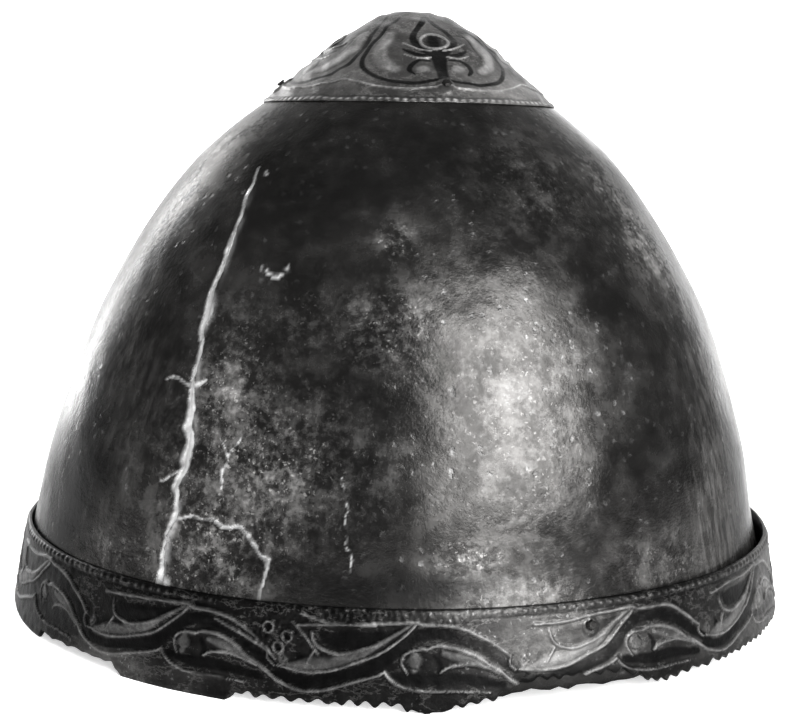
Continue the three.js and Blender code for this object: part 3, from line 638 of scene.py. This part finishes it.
@dataclass(frozen=True)
class IronBowl:
    """The iron bowl with its crack, its proud edge and its dents.

    columns are (from, to, step) stretches in degrees, and fine_rows are (up to, rows) stretches in millimetres.
    """

    outline: Outline
    columns: tuple[tuple[float, float, float], ...] = (
        (-180, -96, 2.0), (-96, -43, 1.0), (-43, -4, 0.24), (-4, 96, 1.25), (96, 180, 2.0))
    fine_rows: tuple[tuple[float, int], ...] = ((24.0, 6), (82.0, 120), (135.0, 66), (177.0, 28))
    inner_rows: int = 30

    def build(self) -> bpy.types.Object:
        """The bowl as one closed wall."""
        o = self.outline
        angle = spread(self.columns)
        ragged = 0.35 * noise(angle / 2.2, 0 * angle, 61) * smooth(10, 14, angle) * (1 - smooth(36, 42, angle))
        edge = o.at(np.maximum(read(LOWER_EDGE, angle, 2) * BrowBand.border + ragged, 0))
        tops = [0.0] + [float(o.at(np.array(top))) for top, _ in self.fine_rows]
        steps = [np.linspace(a, b, n, endpoint=False) for a, b, (_, n) in zip(tops, tops[1:], self.fine_rows)]
        share = np.append(np.concatenate(steps), tops[-1]) / tops[-1]
        length = edge + (o.length[-1] - edge) * share[:, None]
        a, z = angle + 0 * length, o.heights(length)
        reach = np.maximum(o.reaches(length), 1)
        turn = reach * math.pi / 180
        ragged_u = 0.4 * noise(a * turn / 12, z / 9, 81) + 0.13 * noise(a * turn / 3.2, z / 2.6, 82)
        ragged_v = 0.35 * noise(a * turn / 9, z / 9, 83)
        marks = Relief(a + ragged_u / turn, z + ragged_v, turn)
        forks = np.max([marks.inside(rows) for rows in DAMAGE.branches], axis=0)
        faint = 0.3 + 0.4 * smooth(-1.3, 0.6, noise(a * turn / 3, z / 3, 86))
        split = np.maximum(smooth(0, 0.6, marks.inside(DAMAGE.crack)), faint * smooth(0, 0.6, forks))
        streak = np.zeros(a.shape)
        for rows in DAMAGE.streaks:
            streak = np.maximum(streak, smooth(0, 0.8, marks.inside(rows)))
        path = np.array(DAMAGE.crack)[::-1]
        side = (a - np.interp(z, path[:, 1], path[:, 0])) * turn
        tall = smooth(24, 34, z) * (1 - smooth(112, 128, z))
        proud = 0.75 * tall * smooth(-0.5, 0.7, side) * (1 - smooth(2, 22, side))
        # Painted highlight: the crack's step face, lit as if by the left light
        lit_face = 0.5 * tall * smooth(-0.6, 0.2, side) * (1 - smooth(0.4, 3.6, side))
        lit_face *= smooth(-1.1, 0.9, noise(a * turn / 4, z / 9, 84))
        streak *= smooth(-1.2, 0.8, noise(a * turn / 2, z / 2.4, 85)) * 0.7
        dents = 0.16 * noise(a * turn / 60, z / 60, 71) + 0.03 * noise(a * turn / 16, z / 16, 72)
        near_edge = smooth(0, 12, z - 24) * smooth(0, 10, 150 - z)
        height = (dents - 0.25) * near_edge + proud - 0.7 * split
        outer = o.place(a, length, height)
        few = edge + (o.length[-1] - edge) * np.linspace(0, 1, self.inner_rows)[:, None]
        inner = o.place(angle + 0 * few, few, 0 * few - BOWL.wall)
        # The crack mask holds the crack and the painted highlight on its step face
        masks = {
            "crack": np.maximum(split, lit_face), "streak": streak,
            "bloom": patches(a, z, turn, DAMAGE.bloom), "streaky": patches(a, z, turn, DAMAGE.streaky),
            "shade": patches(a, z, turn, DAMAGE.shade),
        }
        return shell("bowl_surface", outer, inner, True, masks)


class Graph:
    """Adds nodes to one tree and links them."""

    def __init__(self, tree: bpy.types.NodeTree) -> None:
        """Keeps the tree."""
        self.tree = tree

    def add(self, kind: str, inputs: dict | None = None, **settings: object) -> bpy.types.Node:
        """A node with its settings, whose inputs are values or other nodes' outputs."""
        node = self.tree.nodes.new(kind)
        for key, value in settings.items():
            setattr(node, key, value)
        for key, value in (inputs or {}).items():
            if isinstance(value, bpy.types.NodeSocket):
                self.tree.links.new(value, node.inputs[key])
            else:
                node.inputs[key].default_value = value
        return node

    def raw(self, operation: str, *values: object) -> bpy.types.NodeSocket:
        """The result of one operation on sockets or numbers, without a clamp."""
        return self.add("ShaderNodeMath", dict(enumerate(values)), operation=operation).outputs[0]

    def math(self, operation: str, *values: object) -> bpy.types.NodeSocket:
        """The result of one operation, clamped to 0..1 where it adds, subtracts or multiplies."""
        result = self.raw(operation, *values)
        result.node.use_clamp = operation in ("ADD", "MULTIPLY", "SUBTRACT")
        return result

    def times(self, one: object, other: object) -> bpy.types.NodeSocket:
        """The product of two sockets or numbers, clamped to 0..1."""
        return self.math("MULTIPLY", one, other)

    def plus(self, one: object, other: object) -> bpy.types.NodeSocket:
        """The sum of two sockets or numbers, clamped to 0..1."""
        return self.math("ADD", one, other)

    def between(self, value: object, low: float, high: float) -> bpy.types.NodeSocket:
        """A number that goes from low to high as a value goes from 0 to 1."""
        return self.add("ShaderNodeMapRange", {"Value": value, "To Min": low, "To Max": high}).outputs[0]

    def mask(self, name: str) -> bpy.types.NodeSocket:
        """A mask kept on the mesh."""
        return self.add("ShaderNodeAttribute", attribute_name=name).outputs["Fac"]

    def noise(self, scale: float, detail: float) -> bpy.types.NodeSocket:
        """Noise on object coordinates, at a scale in cycles a metre."""
        place = self.add("ShaderNodeTexCoord").outputs["Object"]
        inputs = {"Vector": place, "Scale": scale, "Detail": detail, "Roughness": 0.6}
        return self.add("ShaderNodeTexNoise", inputs).outputs["Fac"]

    def effect(self, effect: "Effect", scale: float, share: float) -> bpy.types.NodeSocket:
        """The mask of one effect's group at a scale in cycles a metre and a share."""
        node = self.add("ShaderNodeGroup")
        node.node_tree = effect_group(effect)
        node.inputs["Scale"].default_value, node.inputs["Share"].default_value = scale, share
        return node.outputs["Mask"]

    def step(self, value: object, low: object, high: object) -> bpy.types.NodeSocket:
        """A smooth step of a value from low to high."""
        return self.add("ShaderNodeMapRange", {"Value": value, "From Min": low, "From Max": high},
                        interpolation_type="SMOOTHSTEP").outputs[0]

    def mix(self, share: object, low: object, high: object) -> bpy.types.NodeSocket:
        """A mix of two colours."""
        node = self.add("ShaderNodeMix", data_type="RGBA")
        for socket, value in ((node.inputs[0], share), (node.inputs[6], low), (node.inputs[7], high)):
            if isinstance(value, bpy.types.NodeSocket):
                self.tree.links.new(value, socket)
            else:
                socket.default_value = value
        return node.outputs[2]


class Effect(Enum):
    """The effects that more than one metal uses."""

    MOTTLE = "mottle"
    SPECKS = "specks"
    SCRATCHES = "scratches"
    STREAKS = "streaks"


# How far each effect is squeezed along x, y and z
STRETCHES = {Effect.STREAKS: (1, 1, 0.08), Effect.SCRATCHES: (0.7, 0.7, 1.5)}


def effect_group(effect: Effect) -> bpy.types.NodeTree:
    """The node group of one effect, made once.

    Args:
        effect: Which effect.

    Returns:
        A group with the inputs Scale and Share and the output Mask.
    """
    if effect.value in bpy.data.node_groups:
        return bpy.data.node_groups[effect.value]
    tree = bpy.data.node_groups.new(effect.value, "ShaderNodeTree")
    for name, value in (("Scale", 100.0), ("Share", 0.5)):
        tree.interface.new_socket(name, in_out="INPUT", socket_type="NodeSocketFloat").default_value = value
    tree.interface.new_socket("Mask", in_out="OUTPUT", socket_type="NodeSocketFloat")
    g = Graph(tree)
    given, out = g.add("NodeGroupInput"), g.add("NodeGroupOutput")
    scale, share = given.outputs["Scale"], given.outputs["Share"]
    stretch = STRETCHES.get(effect, (1, 1, 1))
    place = g.add("ShaderNodeTexCoord").outputs["Object"]
    place = g.add("ShaderNodeMapping", {"Vector": place, "Scale": stretch}).outputs[0]
    if effect is Effect.SPECKS:
        drift = g.add("ShaderNodeTexNoise", {"Vector": place, "Scale": 1100.0, "Detail": 3.0}).outputs["Color"]
        place = g.add("ShaderNodeVectorMath", {0: drift, 1: (0.0022, 0.0022, 0.0022), 2: place},
                      operation="MULTIPLY_ADD").outputs[0]
        cells = g.add("ShaderNodeTexVoronoi", {"Vector": place, "Scale": scale}).outputs
        few = g.math("LESS_THAN", g.add("ShaderNodeSeparateColor", {"Color": cells["Color"]}).outputs[0], share)
        mask = g.times(few, g.step(cells["Distance"], 0.42, 0.12))
    else:
        inputs = {"Vector": place, "Scale": scale, "Detail": 6.0, "Roughness": 0.68}
        value = g.add("ShaderNodeTexNoise", inputs).outputs["Fac"]
        if effect is Effect.SCRATCHES:
            far = g.math("ABSOLUTE", g.raw("SUBTRACT", value, 0.5))
            mask = g.step(far, 0.02, 0.0)
            mask = g.times(mask, share)
        else:
            low = g.raw("SUBTRACT", 0.92, share)
            mask = g.step(value, low, g.raw("ADD", low, 0.34))
    tree.links.new(mask, out.inputs[0])
    return tree


@dataclass(frozen=True)
class Finish:
    """A metal's tones, as linear greys, and its gloss and bump."""

    name: str
    ground: float
    mottle: float
    inlay_and_shade: float
    raised: float
    wear_and_highlight: float
    metallic: float
    gloss: float
    dull: float
    grain: float


def grey(tone: float, warm: float = 0.0) -> tuple[float, float, float, float]:
    """A near-neutral colour, a little warmer with warm above 0."""
    return (tone * (1 + warm), tone, tone * (1 - warm), 1.0)


def start_material(finish: Finish, tint: float, level: float) -> tuple[bpy.types.Material, Graph]:
    """A new node material with its graph.

    Args:
        finish: The metal's finish, which names the material.
        tint: The specular tint, as a linear grey.
        level: The specular level.

    Returns:
        The material and the graph of its tree.
    """
    material = bpy.data.materials.new(finish.name)
    material.use_nodes = True
    shader = material.node_tree.nodes["Principled BSDF"]
    shader.inputs["Specular Tint"].default_value = grey(tint)
    shader.inputs["Specular IOR Level"].default_value = level
    return material, Graph(material.node_tree)


def link_material(material: bpy.types.Material, **results: bpy.types.NodeSocket) -> None:
    """Links results to a material's shader.

    Args:
        material: The material.
        results: The sockets to link, by the shader input's name with underscores for spaces.
    """
    inputs = material.node_tree.nodes["Principled BSDF"].inputs
    for name, socket in results.items():
        material.node_tree.links.new(socket, inputs[name.replace("_", " ")])


def iron_material(finish: Finish) -> bpy.types.Material:
    """Dark mottled iron with pits, specks, streaks, painted shade and a bright crack whose step face has a painted
    highlight.

    Args:
        finish: The iron's tones and gloss.

    Returns:
        The material.
    """
    material, g = start_material(finish, tint=0.35, level=0.3)
    broad = g.effect(Effect.MOTTLE, 28, 0.52)
    fine = g.effect(Effect.MOTTLE, 130, 0.52)
    grain = g.effect(Effect.MOTTLE, 520, 0.5)
    specks = g.effect(Effect.SPECKS, 420, 0.16)
    dust = g.effect(Effect.SPECKS, 900, 0.3)
    scratches = g.effect(Effect.SCRATCHES, 45, 0.5)
    streaks = g.effect(Effect.STREAKS, 330, 0.5)
    bloom, streaky, shade = g.mask("bloom"), g.mask("streaky"), g.mask("shade")
    crack, streak = g.mask("crack"), g.mask("streak")
    grit = g.plus(g.times(fine, 0.55), g.plus(g.times(dust, 0.7), g.times(grain, 0.35)))
    stain = g.times(bloom, grit)
    stain = g.times(stain, g.plus(broad, 0.5))
    runs = g.times(streaky, streaks)
    patchy = g.times(broad, fine)
    light = g.times(specks, g.plus(g.times(patchy, 0.6), 0.04))
    light = g.math("MAXIMUM", light, g.times(scratches, g.times(patchy, 0.3)))
    base = g.mix(g.times(g.plus(g.times(broad, 0.6), g.times(fine, 0.55)), 0.9),
                 grey(finish.ground, 0.03), grey(finish.mottle, 0.03))
    base = g.mix(g.times(grain, 0.45), base, grey(finish.ground * 0.6))
    base = g.mix(g.times(stain, 0.95), base, grey(finish.wear_and_highlight, 0.02))
    base = g.mix(g.times(runs, 0.6), base, grey(finish.raised, 0.02))
    base = g.mix(light, base, grey(finish.wear_and_highlight))
    # Painted shade: the shade patches darken the iron
    base = g.mix(g.times(shade, g.plus(g.times(broad, 0.2), 0.72)), base, grey(finish.inlay_and_shade))
    # Crack, streaks and the painted highlight on the crack's step face take the pale bare grey
    edge = g.times(g.plus(crack, streak), g.plus(g.times(fine, 0.45), 0.6))
    base = g.mix(edge, base, grey(BARE_IRON_AND_HIGHLIGHT))
    uneven = g.plus(g.times(broad, 0.45), g.plus(g.times(stain, 0.8), g.times(fine, 0.35)))
    rough = g.math("MAXIMUM", g.between(uneven, finish.gloss, finish.dull), g.times(edge, 0.55))
    metal = g.between(g.plus(edge, g.times(stain, 0.8)), finish.metallic, 0.15)
    relief = g.raw("ADD", g.noise(420, 6), g.times(g.noise(1500, 4), 0.35))
    pits = g.raw("SUBTRACT", relief, g.times(specks, 0.5))
    bump = g.add("ShaderNodeBump", {"Height": pits, "Strength": finish.grain, "Distance": 0.0006}).outputs[0]
    link_material(material, Base_Color=base, Roughness=rough, Metallic=metal, Normal=bump)
    return material


def silver_material(finish: Finish) -> bpy.types.Material:
    """Tarnished light metal: dark sunk ornament, bright ridges, places of wear, and painted highlight on some of the
    band's pale patches.

    Args:
        finish: The metal's tones and gloss.

    Returns:
        The material.
    """
    material, g = start_material(finish, tint=0.5, level=0.25)
    broad = g.effect(Effect.MOTTLE, 60, 0.5)
    fine = g.effect(Effect.MOTTLE, 300, 0.5)
    grain = g.effect(Effect.MOTTLE, 1100, 0.5)
    specks = g.effect(Effect.SPECKS, 900, 0.2)
    scratches = g.effect(Effect.SCRATCHES, 90, 0.8)
    dark, bright, wear_and_highlight, shade = (g.mask(name) for name in ("dark", "bright", "wear_and_highlight", "shade"))
    tone = g.plus(g.times(broad, 0.5), g.times(fine, 0.5))
    base = g.mix(tone, grey(finish.ground, 0.02), grey(finish.mottle, 0.02))
    base = g.mix(g.times(wear_and_highlight, g.plus(g.times(fine, 0.5), 0.45)), base, grey(finish.wear_and_highlight, 0.02))
    base = g.mix(g.times(scratches, 0.3), base, grey(finish.wear_and_highlight, 0.02))
    base = g.mix(g.times(shade, 0.85), base, grey(finish.inlay_and_shade))
    base = g.mix(g.times(dark, g.math("SUBTRACT", 1.0, g.times(fine, 0.12))), base, grey(finish.inlay_and_shade))
    lit = g.times(bright, g.plus(g.times(tone, 0.75), g.math("SUBTRACT", 0.22, g.times(shade, 0.15))))
    base = g.mix(lit, base, grey(finish.raised, 0.01))
    sparks = g.times(specks, g.times(g.math("SUBTRACT", 1.0, dark), g.plus(g.times(wear_and_highlight, 0.22), 0.03)))
    base = g.mix(sparks, base, grey(BARE_SILVER))
    base = g.mix(g.times(grain, 0.25), base, grey(finish.inlay_and_shade))
    rough = g.between(g.plus(g.times(fine, 0.5), g.times(broad, 0.4)), finish.gloss, finish.dull)
    metal = g.between(lit, finish.metallic, 0.35)
    relief = g.raw("ADD", g.noise(700, 6), g.times(g.noise(2400, 4), 0.4))
    bump = g.add("ShaderNodeBump", {"Height": relief, "Strength": finish.grain, "Distance": 0.0004}).outputs[0]
    link_material(material, Base_Color=base, Roughness=rough, Metallic=metal, Normal=bump)
    return material


VINE, PALMETTE, DAMAGE = Vine(), Palmette(), Damage()
IRON = Finish("iron", ground=0.016, mottle=0.058, inlay_and_shade=0.007, raised=0.26, wear_and_highlight=0.46,
              metallic=0.75, gloss=0.17, dull=0.50, grain=0.22)
SILVERED = Finish("silvered", ground=0.030, mottle=0.075, inlay_and_shade=0.005, raised=0.60, wear_and_highlight=0.30,
                  metallic=0.6, gloss=0.34, dull=0.60, grain=0.3)
TARNISHED = Finish("tarnished", ground=0.004, mottle=0.014, inlay_and_shade=0.002, raised=0.26, wear_and_highlight=0.16,
                   metallic=0.8, gloss=0.38, dull=0.60, grain=0.3)
# Linear greys of freshly bared metal; the iron's grey also colours the painted highlight on the crack's step face
BARE_IRON_AND_HIGHLIGHT, BARE_SILVER = 0.85, 0.8


@dataclass(frozen=True)
class Lamp:
    """A soft rectangular light: angles in degrees and sizes in metres, from the point that it faces, power in watts."""

    name: str
    azimuth: float
    elevation: float
    far: float
    wide: float
    tall: float
    power: float
    target: tuple[float, float, float] = (0.0, 0.0, 0.09)

    def build(self) -> None:
        """Adds the light."""
        lamp = bpy.data.lights.new(self.name, "AREA")
        lamp.shape, lamp.size, lamp.size_y, lamp.energy = "RECTANGLE", self.wide, self.tall, self.power
        obj = bpy.data.objects.new(self.name, lamp)
        az, el = math.radians(self.azimuth), math.radians(self.elevation)
        way = Vector((math.sin(az) * math.cos(el), -math.cos(az) * math.cos(el), math.sin(el)))
        obj.location = Vector(self.target) + self.far * way
        obj.rotation_euler = (-way).to_track_quat("-Z", "Y").to_euler()
        bpy.context.scene.collection.objects.link(obj)


LAMPS = (
    Lamp("key_light", azimuth=34, elevation=26, far=1.3, wide=0.95, tall=0.95, power=43),
    Lamp("left_light", azimuth=-138, elevation=14, far=1.3, wide=0.3, tall=0.9, power=15),
    Lamp("right_light", azimuth=141, elevation=4, far=1.3, wide=0.2, tall=0.7, power=3),
    Lamp("wash_light", azimuth=0, elevation=34, far=2.2, wide=3.4, tall=0.9, power=120, target=(0.0, 3.0, 0.7)),
)


@dataclass(frozen=True)
class Studio:
    """The pale floor that curves up behind, the lights and the camera, in metres and radians.

    The lens and the sensor are in millimetres, and glow and world_light are strengths.
    """

    eye: tuple[float, float, float] = (0, -0.4669, 0.1393)
    pitch: float = 0.146
    roll: float = 0.019
    lens: float = 67.76
    sensor: float = 36
    bend_start: float = 2.2
    bend: float = 0.9
    far: float = 6.0
    half_width: float = 7.0
    glow: float = 0.55
    world_light: float = 0.3

    def floor(self) -> None:
        """A floor with a curved rise behind, as one sheet swept from a profile."""
        turn = np.linspace(0, math.pi / 2, 24)
        y = np.concatenate([[-self.far], self.bend_start + self.bend * np.sin(turn), [self.bend_start + self.bend]])
        z = np.concatenate([[0], self.bend - self.bend * np.cos(turn), [self.far]])
        x = np.array([-self.half_width, self.half_width])
        points = np.stack([x[:, None] + 0 * y, y + 0 * x[:, None], z + 0 * x[:, None]], -1).reshape(-1, 3)
        n, k = len(y), np.arange(len(y) - 1)
        faces = np.stack([k, k + n, k + n + 1, k + 1], -1)
        mesh = bpy.data.meshes.new("floor")
        mesh.from_pydata(points.tolist(), [], faces.tolist())
        mesh.polygons.foreach_set("use_smooth", np.ones(len(faces), bool))
        material = bpy.data.materials.new("pale")
        material.use_nodes = True
        shader = material.node_tree.nodes["Principled BSDF"]
        shader.inputs["Base Color"].default_value = (0.93, 0.93, 0.93, 1)
        shader.inputs["Roughness"].default_value = 0.95
        shader.inputs["Specular IOR Level"].default_value = 0.1
        shader.inputs["Emission Color"].default_value = (1, 1, 1, 1)
        shader.inputs["Emission Strength"].default_value = self.glow
        mesh.materials.append(material)
        obj = bpy.data.objects.new("floor", mesh)
        bpy.context.scene.collection.objects.link(obj)

    def camera(self) -> None:
        """The camera at the photograph's angle, from its place, pitch and roll."""
        cam = bpy.data.cameras.new("camera")
        cam.lens, cam.sensor_width, cam.sensor_fit = self.lens, self.sensor, "HORIZONTAL"
        obj = bpy.data.objects.new("camera", cam)
        p, r = self.pitch, self.roll
        x = Vector((math.cos(r), math.sin(r) * math.sin(p), math.sin(r) * math.cos(p)))
        y = Vector((-math.sin(r), math.cos(r) * math.sin(p), math.cos(r) * math.cos(p)))
        turn = Matrix((x, y, x.cross(y))).transposed().to_4x4()
        obj.matrix_world = Matrix.Translation(self.eye) @ turn
        bpy.context.scene.collection.objects.link(obj)
        bpy.context.scene.camera = obj

    def build(self) -> None:
        """Adds everything that isn't the helmet."""
        self.camera()
        self.floor()
        for lamp in LAMPS:
            lamp.build()
        world = bpy.data.worlds.new("studio")
        world.use_nodes = True
        shade = world.node_tree.nodes["Background"]
        shade.inputs["Color"].default_value = (1, 1, 1, 1)
        shade.inputs["Strength"].default_value = self.world_light
        bpy.context.scene.world = world
        bpy.context.scene.view_settings.view_transform = "Standard"


def main() -> None:
    """Builds the helmet's surfaces on the CAD frame, dresses every piece and lights the scene."""
    logging.basicConfig(level=logging.INFO, format="%(name)s: %(message)s")
    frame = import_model()
    outline = Outline(BOWL)
    iron = iron_material(IRON)
    pieces = (
        (IronBowl, "bowl", "iron", iron),
        (BrowBand, "brow_band", "silvered", silver_material(TARNISHED)),
        (CrownPlate, "crown_plate", "silvered", silver_material(SILVERED)),
    )
    for maker, node, slot, metal in pieces:
        piece = maker(outline).build()
        piece.data.materials.append(metal)
        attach(piece, "root")
        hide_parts(node)
        log.info("%s: %d vertices", piece.name, len(piece.data.vertices))
    for name, node in frame["nodes"].items():
        if "rivet" in name:
            node.data.materials.clear()
            node.data.materials.append(iron)
            log.info("%s: dressed", name)
    Studio().build()


if __name__ == "__main__":
    main()
